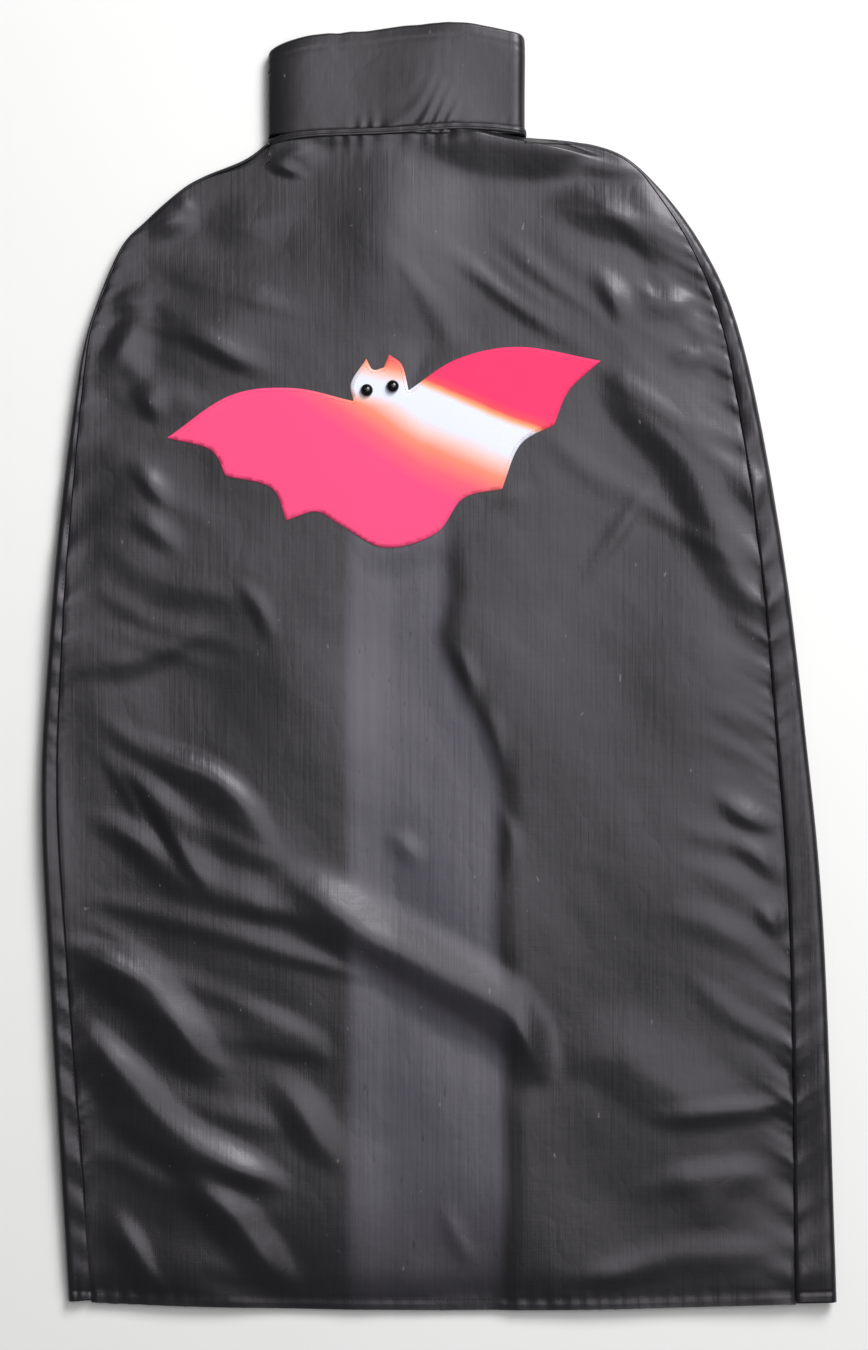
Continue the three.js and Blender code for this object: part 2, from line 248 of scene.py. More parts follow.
def opening_edge(side, spots):
    edge = LEFT_EDGE if side == "left" else RIGHT_EDGE
    line = smooth_line([(NECK_X + x, NECK_Y - down * CAPE_DROP) for x, down in edge], spots)
    reach = np.clip((NECK_Y - line[:, 1]) / CAPE_DROP, 0, 1)
    line[:, 1] += reach**8 * (hem_y(line[:, 0]) - HEM_Y)
    return line


# Upper edge of the band that covers the neck seam, and the rim of the collar, left to right
BAND_LINE = [
    (-130.7, 403), (-128.5, 406), (-115, 410), (-97, 412.2), (-78, 413.1), (-38, 414.6), (-8, 416.9),
    (15, 418.3), (37, 417.6), (52, 416.2), (66.3, 414.4),
]
RIM_LINE = [
    (-130.7, 470), (-129.3, 474.5), (-116, 481), (-96, 485.8), (-69, 487.8), (-38, 491.2), (-8, 494.4),
    (14, 495.6), (34, 492.8), (53, 489.6), (64.8, 486.2), (66.3, 483),
]


def height_of(line, x):
    return np.interp(x, *smooth_line(line, 160).T)


def neck_line(x):
    """The back's neck edge, tucked under the band."""
    return height_of(BAND_LINE, x) - BAND_HEIGHT + 1.2 - 2.2 * step(20, 62, x)


# The bat: runs of smooth outline between its corners, in hundredths of half its span from its middle
BAT_RUNS = [
    [(-100, 5), (-71, 24.5), (-42, 28), (-14, 22)],
    [(-14, 22), (-15, 30.5), (-8, 41.5)],
    [(-8, 41.5), (-5, 36.5), (0, 37.5)],
    [(0, 37.5), (2.5, 43.5)],
    [(2.5, 43.5), (8.5, 38.5), (11.5, 27)],
    [(11.5, 27), (34, 41.5), (63, 47), (100, 40.5)],
    [(100, 40.5), (85.5, 27), (78.5, 11)],
    [(78.5, 11), (63, 2), (54.5, -18.5)],
    [(54.5, -18.5), (36.5, -23), (24, -39), (0.5, -45.5), (-20, -35), (-31, -29), (-45, -33)],
    [(-45, -33), (-52, -18), (-73, -12.5)],
    [(-73, -12.5), (-80, -0.5), (-100, 5)],
]


def bat_outline(pitch):
    parts = []
    for run in BAT_RUNS:
        line = np.array(run) * BAT_HALF_SPAN / 100 + (BAT_X, BAT_Y)
        length = np.linalg.norm(np.diff(line, axis=0), axis=1).sum()
        parts.append(smooth_line(line, max(3, int(length / pitch)))[:-1])
    return np.vstack(parts)


def inside_bat(x, y):
    """How far inside the bat's outline each place lies, in millimetres, negative outside it."""
    outline = bat_outline(4)
    ring = np.vstack([outline, outline[:1]])
    nearest = distance_to(ring, x, y)
    inside = np.zeros(x.shape, bool)
    for (ax, ay), (bx, by) in zip(ring, ring[1:]):
        if ay != by:
            inside ^= ((ay > y) != (by > y)) & (x < (bx - ax) * (y - ay) / (by - ay) + ax)
    return np.where(inside, nearest, -nearest)


def gap_edges(y):
    """Where the two fronts' opening edges lie under the back, at heights y up the cape."""
    places = np.linspace(0, 1, 120)
    edges = [opening_edge(side, places) for side in ("left", "right")]
    return [np.interp(y, edge[::-1, 1], edge[::-1, 0]) for edge in edges]


# ---------- folds of the satin
# Each fold is a crest: points along it, its rise, and how far it spreads to the left and right of travel
FOLDS = [
    ([(-121, -150), (-100, -175), (-51, -204), (0, -234), (50, -270), (80, -312), (86, -330)], 11, 14, 17),
    ([(-296, -209), (-256, -229), (-222, -247), (-194, -281), (-170, -302), (-150, -312)], 8.5, 9, 14),
    ([(-284, -262), (-264, -291), (-230, -331), (-192, -364), (-154, -386), (-112, -403)], 8, 9, 14),
    ([(-205, -380), (-187, -396), (-157, -427), (-136, -449), (-112, -480), (-104, -494)], 9, 8, 10),
    ([(-256, -414), (-240, -434), (-224, -456), (-208, -484)], 4, 4, 8),
    ([(-134, -312), (-120, -326), (-94, -358), (-64, -389)], 5.5, 9, 9),
    ([(-172, -266), (-133, -280), (-99, -293), (-84, -314)], 3.5, 8, 8),
    ([(-239, -47), (-210, -66), (-176, -83), (-148, -109), (-125, -141)], 6, 6, 9),
    ([(-253, -66), (-228, -99), (-202, -136), (-169, -180)], 5.5, 12, 4),
    ([(-262, -62), (-248, -89), (-231, -124)], 2.5, 5, 4),
    ([(-295, -4), (-230, 5), (-164, 36)], 4, 16, 7),
    ([(-161, 69), (-139, 47), (-127, 13)], 2.5, 5, 5),
    ([(-34, 414), (8, 413), (50, 409), (92, 402), (134, 388)], 12, 3, 15),
    ([(-134, 388), (-112, 397), (-86, 401)], 4, 8, 8),
    ([(105, 390), (134, 383), (163, 370)], 4, 8, 6),
    ([(78, 357), (118, 347), (153, 340), (179, 323), (200, 314)], 7, 13, 9),
    ([(36, 320), (89, 276), (140, 238), (188, 204), (235, 167)], 1.5, 5, 7),
    ([(118, 236), (160, 193), (188, 165), (207, 132), (224, 85), (242, 38), (256, 6)], 6.5, 25, 13),
    ([(167, 144), (141, 105), (112, 63)], 2.5, 4, 5),
    ([(151, 300), (163, 286), (179, 281), (196, 285), (211, 288)], 4.5, 6, 9),
    ([(172, 238), (197, 238), (221, 241)], 3, 4, 7),
    ([(114, 310), (131, 287), (143, 259)], 3.5, 7, 5),
    ([(224, 168), (239, 149), (247, 120)], 3, 4, 8),
    ([(209, -93), (238, -116), (265, -127)], 5, 7, 5),
    ([(218, -130), (244, -147), (268, -170)], 4, 5, 5),
    ([(241, -176), (255, -191), (269, -210)], 4, 5, 5),
    ([(78, -310), (131, -296), (165, -318), (194, -335), (240, -332)], 3, 20, 14),
    ([(163, -438), (212, -413), (249, -380)], 2.5, 16, 12),
    ([(-3, -412), (15, -444), (32, -468)], 2, 6, 3),
    ([(-184, 332), (-146, 335), (-107, 358)], 3, 14, 10),
    ([(-136, 397), (-122, 387), (-104, 375)], 2.5, 4, 3),
    ([(-202, 363), (-193, 353), (-185, 340)], 2, 4, 4),
    ([(-224, 283), (-240, 256), (-251, 235), (-268, 212)], 5.5, 12, 7),
    ([(-239, 224), (-224, 209), (-212, 186)], 3.5, 7, 5),
    ([(-244, 155), (-227, 144), (-202, 119)], 3.5, 7, 4),
    ([(-241, 115), (-214, 102), (-190, 85)], 3.5, 7, 5),
    ([(50, 117), (57, 129), (70, 141)], 2, 5, 5),
    ([(8, 20), (22, -8), (26, -40)], 2.5, 4, 5),
    ([(30, -20), (44, -52), (50, -90)], 3, 5, 5),
    ([(40, -95), (56, -130), (52, -170)], 2, 4, 5),
    ([(-36, -120), (-22, -142), (-14, -160)], 2.5, 5, 5),
    ([(-228, 330), (-205, 338), (-180, 336)], 4, 9, 6),
    ([(-258, 272), (-236, 282), (-214, 272)], 4, 8, 6),
]
RISE, SPREAD = 0.74, 1.7          # how high and wide the folds of this cloth stand
STRIP_SAG = 2.8                   # how far the back sinks between the two fronts
TAPER = 55                        # length over which a fold fades in and out at its ends
SOFTNESS = 0.03                   # how round a fold is at its top and at its foot
# Broad swells of the cloth: middle, rise, half lengths along and across an axis, and its turn in degrees
SWELLS = [
    ((-28, 338), 5.2, 40, 76, 0), ((-175, 250), 3.0, 60, 34, 40), ((-240, 120), 2.2, 30, 60, -12),
    ((175, 260), 2.4, 60, 26, -38), ((200, -20), 2.2, 46, 90, 0), ((-190, -190), 2.6, 70, 30, -38),
    ((60, -330), 2.2, 70, 40, -20), ((-195, -395), 5, 60, 42, -40), ((-190, 60), 2.0, 70, 30, 10),
    ((120, -110), 1.8, 60, 80, 10),
]
# Fans of long shallow folds: start and end of the first, then of the last, how many, and their rise
FANS = [
    ((-279, -190), (-84, -285), (-268, -462), (-120, -500), 7, 1.7),
    ((-40, 322), (250, 84), (140, 384), (236, 286), 8, 1.4),
    ((-262, -30), (-112, -140), (-282, -170), (-66, -246), 5, 2.4),
    ((-262, 222), (-150, 176), (-232, 330), (-84, 262), 5, 2.0),
    ((-277, 150), (-150, 104), (-286, 30), (-128, -20), 4, 1.0),
    ((272, -50), (196, -8), (276, -290), (160, -238), 6, 1.7),
    ((276, -330), (150, -360), (280, -450), (110, -470), 3, 2.2),
]


def fan_folds():
    """The folds of every fan, each a little out of line with its neighbours."""
    rng = np.random.default_rng(31)
    folds = []
    for start, end, last_start, last_end, count, rise in FANS:
        for share in np.linspace(0, 1, count):
            a = np.array(start) + (np.array(last_start) - start) * share + rng.normal(0, 7, 2)
            b = np.array(end) + (np.array(last_end) - end) * share + rng.normal(0, 12, 2)
            bow = np.array([b[1] - a[1], a[0] - b[0]]) * rng.uniform(-0.09, 0.09)
            middle = a + (b - a) * rng.uniform(0.4, 0.6) + bow
            width = rng.uniform(4.5, 8)
            path = [tuple(a), tuple(middle), tuple(b)]
            folds.append((path, rise * rng.uniform(0.7, 1.3), width * 1.15, width))
    return folds


FAN_FOLDS = fan_folds()


def crest(x, y, path, rise, left, right):
    """One fold: straight flanks that round off softly at its top and its foot."""
    side, share = from_path(path, x, y)
    length = np.linalg.norm(np.diff(np.array(path, float), axis=0), axis=1).sum()
    taper = min(0.5, TAPER / length)
    spread = SPREAD * np.where(side > 0, left, right) * (0.45 + 0.6 * np.sin(math.pi * share) ** 0.7)
    away = np.sqrt((side / spread) ** 2 + SOFTNESS) - 0.17
    slope = 0.5 * (1 - away + np.sqrt((1 - away) ** 2 + SOFTNESS))
    ends = step(0, taper, share) * step(1, 1 - taper, share)
    return RISE * rise * ends * np.maximum(0, slope - 0.02 * away)


def swell(x, y, middle, rise, along, across, turn):
    turn = math.radians(turn)
    dx, dy = x - middle[0], y - middle[1]
    u = (dx * math.cos(turn) + dy * math.sin(turn)) / along
    v = (dy * math.cos(turn) - dx * math.sin(turn)) / across
    return rise * np.exp(-(u**2 + v**2))


def painted_pale_share(x, y):
    """How much painted see-through light the back gets: up to 1 where it lies alone on the floor, 0 where a
    front lies under it.
    """
    left, right = gap_edges(y)
    strip = step(left - 4, left + 8, x) * step(right + 2, right - 8, x)
    strip *= step(HEM_Y - 30, HEM_Y + 110, y) * (1 - 0.92 * step(120, 200, y))
    long_fold = crest(x, y, *FOLDS[0])
    strip *= 1 - 0.8 * step(1.0, 5, long_fold)     # it stands clear of the floor
    # A painted highlight patch, paler, on the middle of the back just below the collar
    upper = 0.35 * step(-52, -34, x) * step(44, 0, x) * step(268, 310, y) * step(398, 350, y)
    return np.maximum(strip, upper)


def folds_at(x, y):
    """Height of the folded satin above its plain level."""
    bent_x, bent_y = x + fold_wander(x, y), y + fold_wander(y + 500, x)
    height = sum(crest(bent_x, bent_y, *fold) for fold in FOLDS + FAN_FOLDS)
    height = height + sum(swell(x, y, *place) for place in SWELLS)
    left, right = gap_edges(y)
    sag = step(left - 6, left + 40, x) * step(right + 15, right - 11, x) * (1 - 0.75 * step(60, 200, y))
    height = height + broad_ripples(x, y) + fine_ripples(x, y) - STRIP_SAG * sag
    stiff = step(-26, 3, inside_bat(x, y))     # the backed bat keeps the cloth under it flat
    return height * (1 - 0.75 * stiff) + 0.7 * stiff


EDGE_RISE = {"left": 1.9, "right": 2.5}    # how much fuller the cloth stands along its side folds
EDGE_REACH = 16                            # how far in from a side fold it does so
SEAM_STRENGTH = {"left": 0.7, "right": 1.0}    # how strongly each side seam puckers


def seam_pucker(distance, along, strength):
    """The valley of a sewn seam and the small gathers beside it."""
    slanted = along + 0.7 * distance
    gather = 0.4 * np.sin(slanted / 2.1 + 1.7 * np.sin(along / 19)) * (0.5 + 0.5 * np.sin(along / 47 + 1))
    gather += 0.9 * np.sin(slanted / 5.3 + 2.3 * np.sin(along / 37)) * (0.5 + 0.5 * np.sin(along / 71 + 3))
    depth = 0.75 + 0.45 * np.sin(along / 17 + 2 * np.sin(along / 43))
    valley = 0.7 * depth * np.exp(-((distance / 2.2) ** 2))
    strength = strength * (0.2 + 0.8 * step(30 - NECK_Y, 100 - NECK_Y, along))     # weaker at the shoulder
    return strength * (1.9 * gather * np.exp(-distance / 12) - valley)


def hem_shape(distance, along):
    """The turned hem: a thicker band, a stitched groove, and shallow puckers."""
    gather = np.sin(along / 1.9 + 2.1 * np.sin(along / 23)) * (0.6 + 0.4 * np.sin(along / 61))
    band = 0.5 * step(HEM_DEPTH + 1.5, HEM_DEPTH - 1.5, distance)
    groove = -0.7 * np.exp(-(((distance - HEM_DEPTH) / 1.2) ** 2))
    return band + groove + 0.8 * gather * np.exp(-np.abs(distance - HEM_DEPTH) / 6)


# ---------- materials
class Value:
    """A number running through a material's nodes, with ordinary sums."""

    def __init__(self, nodes, socket):
        self.nodes, self.socket = nodes, socket

    def _sum(self, operation, first, second):
        return self.nodes.add("ShaderNodeMath", {0: first, 1: second}, operation=operation)

    def __add__(self, other):
        return self._sum("ADD", self, other)

    def __radd__(self, other):
        return self._sum("ADD", other, self)

    def __sub__(self, other):
        return self._sum("SUBTRACT", self, other)

    def __rsub__(self, other):
        return self._sum("SUBTRACT", other, self)

    def __mul__(self, other):
        return self._sum("MULTIPLY", self, other)

    def __rmul__(self, other):
        return self._sum("MULTIPLY", other, self)


class Nodes:
    """A material and its node tree."""

    def __init__(self, name):
        self.material = bpy.data.materials.new(name)
        self.material.use_nodes = True
        self.tree = self.material.node_tree
        self.shader = self.tree.nodes["Principled BSDF"]

    def add(self, kind, sockets=None, out=0, stops=None, **settings):
        node = self.tree.nodes.new(kind)
        for name, value in settings.items():
            setattr(node, name, value)
        if stops:
            elements = node.color_ramp.elements
            while len(elements) < len(stops):
                elements.new(0.5)
            for element, (place, colour) in zip(elements, stops):
                element.position = place
                element.color = (*colour, 1) if len(colour) == 3 else colour
        for name, value in (sockets or {}).items():
            self.join(node.inputs[name], value)
        return Value(self, node.outputs[out])

    def join(self, socket, value):
        if isinstance(value, Value):
            self.tree.links.new(value.socket, socket)
        elif isinstance(value, tuple) and len(value) == 3 and socket.type == "RGBA":
            socket.default_value = (*value, 1)
        else:
            socket.default_value = value

    def place(self):
        return self.add("ShaderNodeTexCoord", out="Object")

    def noise(self, scale, detail=3, roughness=0.5, stretch=(1, 1, 1)):
        vector = self.add("ShaderNodeMapping", {"Vector": self.place(), "Scale": stretch})
        sockets = {"Vector": vector, "Scale": scale, "Detail": detail, "Roughness": roughness}
        return self.add("ShaderNodeTexNoise", sockets)

    def ramp(self, value, *stops):
        return self.add("ShaderNodeValToRGB", {"Fac": value}, stops=stops)

    def mix(self, factor, first, second, kind="MIX"):
        sockets = {0: factor, 6: first, 7: second}
        return self.add("ShaderNodeMix", sockets, out=2, data_type="RGBA", blend_type=kind)

    def finish(self, **sockets):
        for name, value in sockets.items():
            self.join(self.shader.inputs[name.replace("_", " ")], value)
        return self.material


def grey(level):
    return (level, level, level)


LINT = (0.3, 0.29, 0.3)


def satin_material(name, cloth, painted_see_through=None, streak_depth=0.35):
    """Black lining satin: finely woven, with a soft sheen; painted paler where one layer lies on a white
    floor, for the light seen through it.
    """
    m = Nodes(name)
    fine, long = 900, 22             # how tight the weave's pattern is across and along its threads
    warp = m.noise(1, 2, 0.6, (fine, long, long))
    weft = m.noise(1, 2, 0.6, (long, fine, long))
    grain = warp * 0.5 + weft * 0.5
    blotch = m.noise(14, 3)
    shade = m.ramp(grain * 0.6 + blotch * 0.4, (0.3, grey(0.6)), (0.7, grey(1.45)))
    colour = m.mix(1.0, cloth, shade, "MULTIPLY")
    if painted_see_through:
        # Painted see-through light: a paler satin, mottled by streaks and slubs, mixed in where the open
        # mark is set
        streaks = m.ramp(m.noise(1, 4, 0.65, (190, 3.5, 3.5)), (0.32, grey(0.84)), (0.62, grey(1.07)))
        slubs = m.ramp(m.noise(1, 2, 0.5, (420, 60, 60)), (0.24, grey(0.35)), (0.3, grey(1)))
        see_through_paint = m.mix(1.0, m.mix(1.0, painted_see_through, streaks, "MULTIPLY"), slubs, "MULTIPLY")
        light = m.add("ShaderNodeAttribute", out="Fac", attribute_name="open")
        colour = m.mix(light, colour, see_through_paint)
    lint = m.ramp(m.noise(240, 1, 0.3, (1, 0.5, 1)), (0.8, grey(0)), (0.84, grey(0.3)))
    colour = m.mix(lint, colour, LINT)
    weave = m.add("ShaderNodeBump", {"Strength": 0.5, "Distance": 0.00014, "Height": grain})
    creases = m.noise(30, 3, 0.5, (1.0, 0.75, 1.0)) * 2 - 1
    crinkle = m.add("ShaderNodeMath", {0: creases}, operation="ABSOLUTE")
    streak = m.noise(1, 3, 0.6, (330, 9, 9))
    relief = crinkle * 0.9 + streak * streak_depth
    sockets = {"Strength": 0.35, "Distance": 0.0012, "Height": relief, "Normal": weave}
    bump = m.add("ShaderNodeBump", sockets)
    rough = m.ramp(blotch, (0.3, grey(0.32)), (0.7, grey(0.39)))
    return m.finish(
        Base_Color=colour, Roughness=rough, Normal=bump, Specular_IOR_Level=0.62,
        Specular_Tint=(0.96, 0.92, 0.995, 1.0), Sheen_Weight=0.08, Sheen_Roughness=0.4,
    )


def thread_material(name, colour):
    """Sewing thread, mottled by its twist."""
    m = Nodes(name)
    twist = m.noise(1800, 2)
    shade = m.ramp(twist, (0.35, grey(0.7)), (0.65, grey(1.25)))
    bump = m.add("ShaderNodeBump", {"Strength": 0.4, "Distance": 0.0001, "Height": twist})
    return m.finish(Base_Color=m.mix(1.0, colour, shade, "MULTIPLY"), Roughness=0.7, Normal=bump,
                    Specular_IOR_Level=0.2)


def print_material():
    """Smooth cloth printed with a fade from pink through orange to white, across the bat."""
    m = Nodes("printed_cloth")
    x = m.add("ShaderNodeSeparateXYZ", {"Vector": m.place()})
    y = Value(m, x.socket.node.outputs[1])
    # Distance below the slanting line where the white band starts, in centimetres
    across, down = -38.3, -92.3
    band_x, band_y = -0.0075, 0.2171
    below = (x - band_x) * across + (y - band_y) * down
    head_x = -0.045
    from_head = m.add("ShaderNodeMath", {0: x - head_x}, operation="ABSOLUTE")
    on_head = m.add("ShaderNodeMapRange", {0: from_head, 1: 0.02, 2: 0.028, 3: 1.0, 4: 0.0},
                    interpolation_type="SMOOTHSTEP")
    above_neck = m.add("ShaderNodeMapRange", {0: y, 1: 0.2, 2: 0.213}, interpolation_type="SMOOTHSTEP")
    toward_left = m.add("ShaderNodeMath", {0: -0.012 - x, 1: 0.0}, operation="MAXIMUM")
    below = below + toward_left * 25 * (1 - on_head * above_neck)
    drift = m.noise(30, 2) * 0.5 - 0.25
    fade = (below + drift) * 0.08 + 0.2
    tint = m.ramp(
        fade, (0.12, (0.95, 0.045, 0.16)), (0.175, (1.0, 0.09, 0.12)), (0.205, (1.0, 0.42, 0.2)),
        (0.24, (0.84, 0.87, 1.0)), (0.4, (0.83, 0.86, 1.0)), (0.48, (0.95, 0.6, 0.55)),
        (0.56, (1.0, 0.29, 0.19)), (0.68, (1.0, 0.13, 0.2)), (0.8, (1.0, 0.085, 0.24)),
    )
    # The head fades to a warm red at the tips of its ears
    up_head = (y + x * 0.25) * 28 - 5.6
    ears = m.ramp(up_head, (0.22, (0.84, 0.86, 1.0)), (0.44, (0.98, 0.56, 0.46)), (0.6, (1.0, 0.27, 0.17)),
                  (0.82, (1.0, 0.1, 0.12)))
    on_ears = m.add("ShaderNodeMapRange", {0: y, 1: 0.213, 2: 0.224}, interpolation_type="SMOOTHSTEP")
    tint = m.mix(on_head * on_ears, tint, ears)
    weave = m.noise(1, 2, 0.5, (1500, 1500, 20))
    shade = m.ramp(weave, (0.3, grey(0.94)), (0.7, grey(1.04)))
    bump = m.add("ShaderNodeBump", {"Strength": 0.25, "Distance": 0.0001, "Height": weave})
    return m.finish(Base_Color=m.mix(1.0, tint, shade, "MULTIPLY"), Roughness=0.75, Normal=bump,
                    Specular_IOR_Level=0.25)


def plain_material(name, colour, roughness, grain, depth, specular=0.5):
    """One colour with a slight mottling, and a grain of a given fineness and depth in metres."""
    m = Nodes(name)
    noise = m.noise(grain, 3)
    shade = m.ramp(noise, (0.3, grey(0.85)), (0.7, grey(1.12)))
    rough = m.ramp(noise, (0.3, grey(roughness * 0.9)), (0.7, grey(min(1, roughness * 1.15))))
    bump = m.add("ShaderNodeBump", {"Strength": 0.4, "Distance": depth, "Height": noise})
    return m.finish(Base_Color=m.mix(1.0, colour, shade, "MULTIPLY"), Roughness=rough, Normal=bump,
                    Specular_IOR_Level=specular)


BLACK_SATIN = (0.0082, 0.0076, 0.0086)
# Painted see-through light: the colour of one layer of satin lit through from the white floor under it
PAINTED_SEE_THROUGH_SATIN = (0.064, 0.06, 0.076)
satin = satin_material("black_satin", BLACK_SATIN, PAINTED_SEE_THROUGH_SATIN)
front_satin = satin_material("front_satin", BLACK_SATIN)
collar_satin = satin_material("collar_satin", (0.0078, 0.0072, 0.0078), streak_depth=0.1)
black_thread = thread_material("black_thread", (0.012, 0.011, 0.013))
pink_thread = thread_material("pink_thread", (0.8, 0.06, 0.16))
printed = print_material()
eye_gloss = plain_material("eye_gloss", (0.002, 0.002, 0.0025), 0.07, 300, 0.00001)
washer_plastic = plain_material("washer_plastic", (0.75, 0.75, 0.74), 0.5, 700, 0.00004)
non_woven = plain_material("non_woven", (0.65, 0.64, 0.6), 0.9, 1400, 0.0002, 0.2)
hook_tape = plain_material("hook_tape", (0.012, 0.012, 0.013), 0.85, 1200, 0.0006, 0.3)


# ---------- making meshes
def new_piece(name, vertices, faces, material, body=None):
    mesh = bpy.data.meshes.new(name)
    mesh.from_pydata((np.asarray(vertices) * MM).tolist(), [], faces)
    mesh.materials.append(material)
    mesh.update()
    mesh.shade_smooth()
    piece = bpy.data.objects.new(name, mesh)
    bpy.context.scene.collection.objects.link(piece)
    if body:
        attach(piece, body)
    return piece


def deselect_all():
    for other in bpy.context.selected_objects:
        other.select_set(False)


def apply_modifier(piece, kind, **settings):
    modifier = piece.modifiers.new(kind.title(), kind)
    for name, value in settings.items():
        setattr(modifier, name, value)
    deselect_all()
    bpy.context.view_layer.objects.active = piece
    bpy.ops.object.modifier_apply(modifier=modifier.name)


def grid_faces(rows, columns, flip=False):
    first = np.arange((rows - 1) * columns).reshape(rows - 1, columns)[:, :-1].ravel()
    quads = np.stack([first, first + columns, first + columns + 1, first + 1], axis=1)
    return (quads[:, ::-1] if flip else quads).tolist()


def cloth_piece(name, grid, material, flip=False, thickness=CLOTH, marks=None):
    """A sheet of cloth from rows of points, given its thickness downwards from the face that is drawn."""
    rows, columns = grid.shape[:2]
    piece = new_piece(name, grid.reshape(-1, 3), grid_faces(rows, columns, flip), material)
    for mark, values in (marks or {}).items():
        attribute = piece.data.attributes.new(mark, "FLOAT", "POINT")
        attribute.data.foreach_set("value", values.ravel().astype(np.float32))
    apply_modifier(piece, "SOLIDIFY", thickness=thickness * MM, offset=-1)
    return piece


def spread(length, coarse, ends, fine):
    """Shares from 0 to 1 along a length, closer together near both ends."""
    edge = np.arange(0, ends, fine)
    middle = np.linspace(ends, length - ends, max(2, int((length - 2 * ends) / coarse)))
    return np.concatenate([edge, middle, (length - edge)[::-1]]) / length


def stitch_bar(length, width):
    """One stitch: a small rounded bar, as its points and faces."""
    deselect_all()
    bpy.ops.mesh.primitive_uv_sphere_add(segments=6, ring_count=4, radius=0.5)
    bar = bpy.context.object
    points = np.array([vertex.co[:] for vertex in bar.data.vertices])[:, [2, 0, 1]]
    points = points * (length, width, width * 0.7)
    faces = [list(face.vertices) for face in bar.data.polygons]
    bpy.data.objects.remove(bar)
    return points, faces


def along_line(line, wanted):
    """The points that lie the wanted lengths along a line."""
    reach = reach_along(line)
    return np.stack([np.interp(wanted, reach, line[:, k]) for k in range(3)], axis=1)


def stitches(name, lines, body, material, replaces, pitch=3.2, length=2.3, width=0.55):
    """Rows of sewn stitches along lines of points."""
    shape, bar_faces = stitch_bar(length, width)
    vertices, faces = [], []
    for line in lines:
        total = reach_along(line)[-1]
        count = max(2, int(total / pitch))
        wanted = (np.arange(count) + 0.5) * total / count
        spots = along_line(line, wanted)
        ahead = along_line(line, wanted + 0.5) - spots
        ahead /= np.linalg.norm(ahead, axis=1, keepdims=True) + 1e-9
        across = np.cross([0, 0, 1], ahead)
        across /= np.linalg.norm(across, axis=1, keepdims=True) + 1e-9
        axes = (ahead, across, np.cross(ahead, across))
        for n in range(count):
            first = len(vertices) * len(shape)
            vertices.append(spots[n] + sum(shape[:, k, None] * axis[n] for k, axis in enumerate(axes)))
            faces += [[first + i for i in face] for face in bar_faces]
    piece = new_piece(name, np.vstack(vertices), faces, material, body)
    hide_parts(*replaces)


# ---------- the back
def back_height(x, y):
    """Height of the back's upper face."""
    hem = y - hem_y(x)
    height = TOP + folds_at(x, y) + hem_shape(hem, x) - HEM_FALL * step(30, 0, hem)
    for side, rise in EDGE_RISE.items():
        inward = distance_to(side_fold(side, 70), x, y)
        height += rise * np.exp(-((inward / EDGE_REACH) ** 2)) * step(NECK_Y - 25, NECK_Y - 90, y)
    # The cloth climbs to the band at the neck, in gathers
    neck = np.maximum(0, neck_line(x) - y)
    near = step(collar_low[0] - 8, collar_low[0] + 8, x) * step(collar_high[0] + 8, collar_high[0] - 8, x)
    near *= 1 - 0.85 * step(2, 30, x)          # both shoulders fall away from the band, the right one more
    near *= 1 - 0.6 * step(-84, -106, x)
    at_band = COLLAR_MID_Z + COLLAR_DEPTH / 2 - 0.8
    height += (at_band - height) * near * np.exp(-((neck / NECK_CLIMB) ** 2))
    gathers = 0.5 * np.sin(x / 2.3 + 1.8 * np.sin(x / 11)) * np.exp(-neck / 8)
    height += gathers * step(-100, -75, x) * step(48, 25, x)
    return np.maximum(height, UNDER + LEAST_ABOVE)


def make_back():
    """The back between its side seams, gathered to the neck line and cut to the hem's curve."""
    down = spread(CAPE_DROP, 3.6, 12, 1.0)
    across = spread(BACK_WIDTH, 3.9, 6, 1.2)
    left, right = side_seam("left", down), side_seam("right", down)
    plan = left[:, None] * (1 - across[None, :, None]) + right[:, None] * across[None, :, None]
    x, y = plan[..., 0], plan[..., 1]
    shares = np.broadcast_to(down[:, None], x.shape)
    y = y + (neck_line(x) - NECK_Y) * step(0.07, 0, shares)
    y = y + (hem_y(x) - (left[:, 1:] * (1 - across) + right[:, 1:] * across)) * step(0.9, 1, shares)
    width = (right[:, 0] - left[:, 0])[:, None]
    z = back_height(x, y)
    for side, distance in (("left", across[None] * width), ("right", (1 - across[None]) * width)):
        z = z + seam_pucker(distance, -y, SEAM_STRENGTH[side])
    grid = np.stack([x, y, z], axis=2)
    # The open mark carries the painted see-through light and the painted highlight patch below the collar
    piece = cloth_piece("back_cloth", grid, satin, marks={"open": painted_pale_share(x, y)})
    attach(piece, "cape_body")
    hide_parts("back_panel")
    hem_x = np.linspace(left[-1, 0] + 2, right[-1, 0] - 2, 180)
    line = laid_on_back(np.stack([hem_x, hem_y(hem_x) + HEM_DEPTH], axis=1), 0.2)
    stitches("back_hem_stitches", [line], "cape_body", black_thread, ["back_hem_thread"])


def laid_on_back(line, above):
    """A plan line laid on the back's upper face."""
    return np.column_stack([line, back_height(line[:, 0], line[:, 1]) + above])


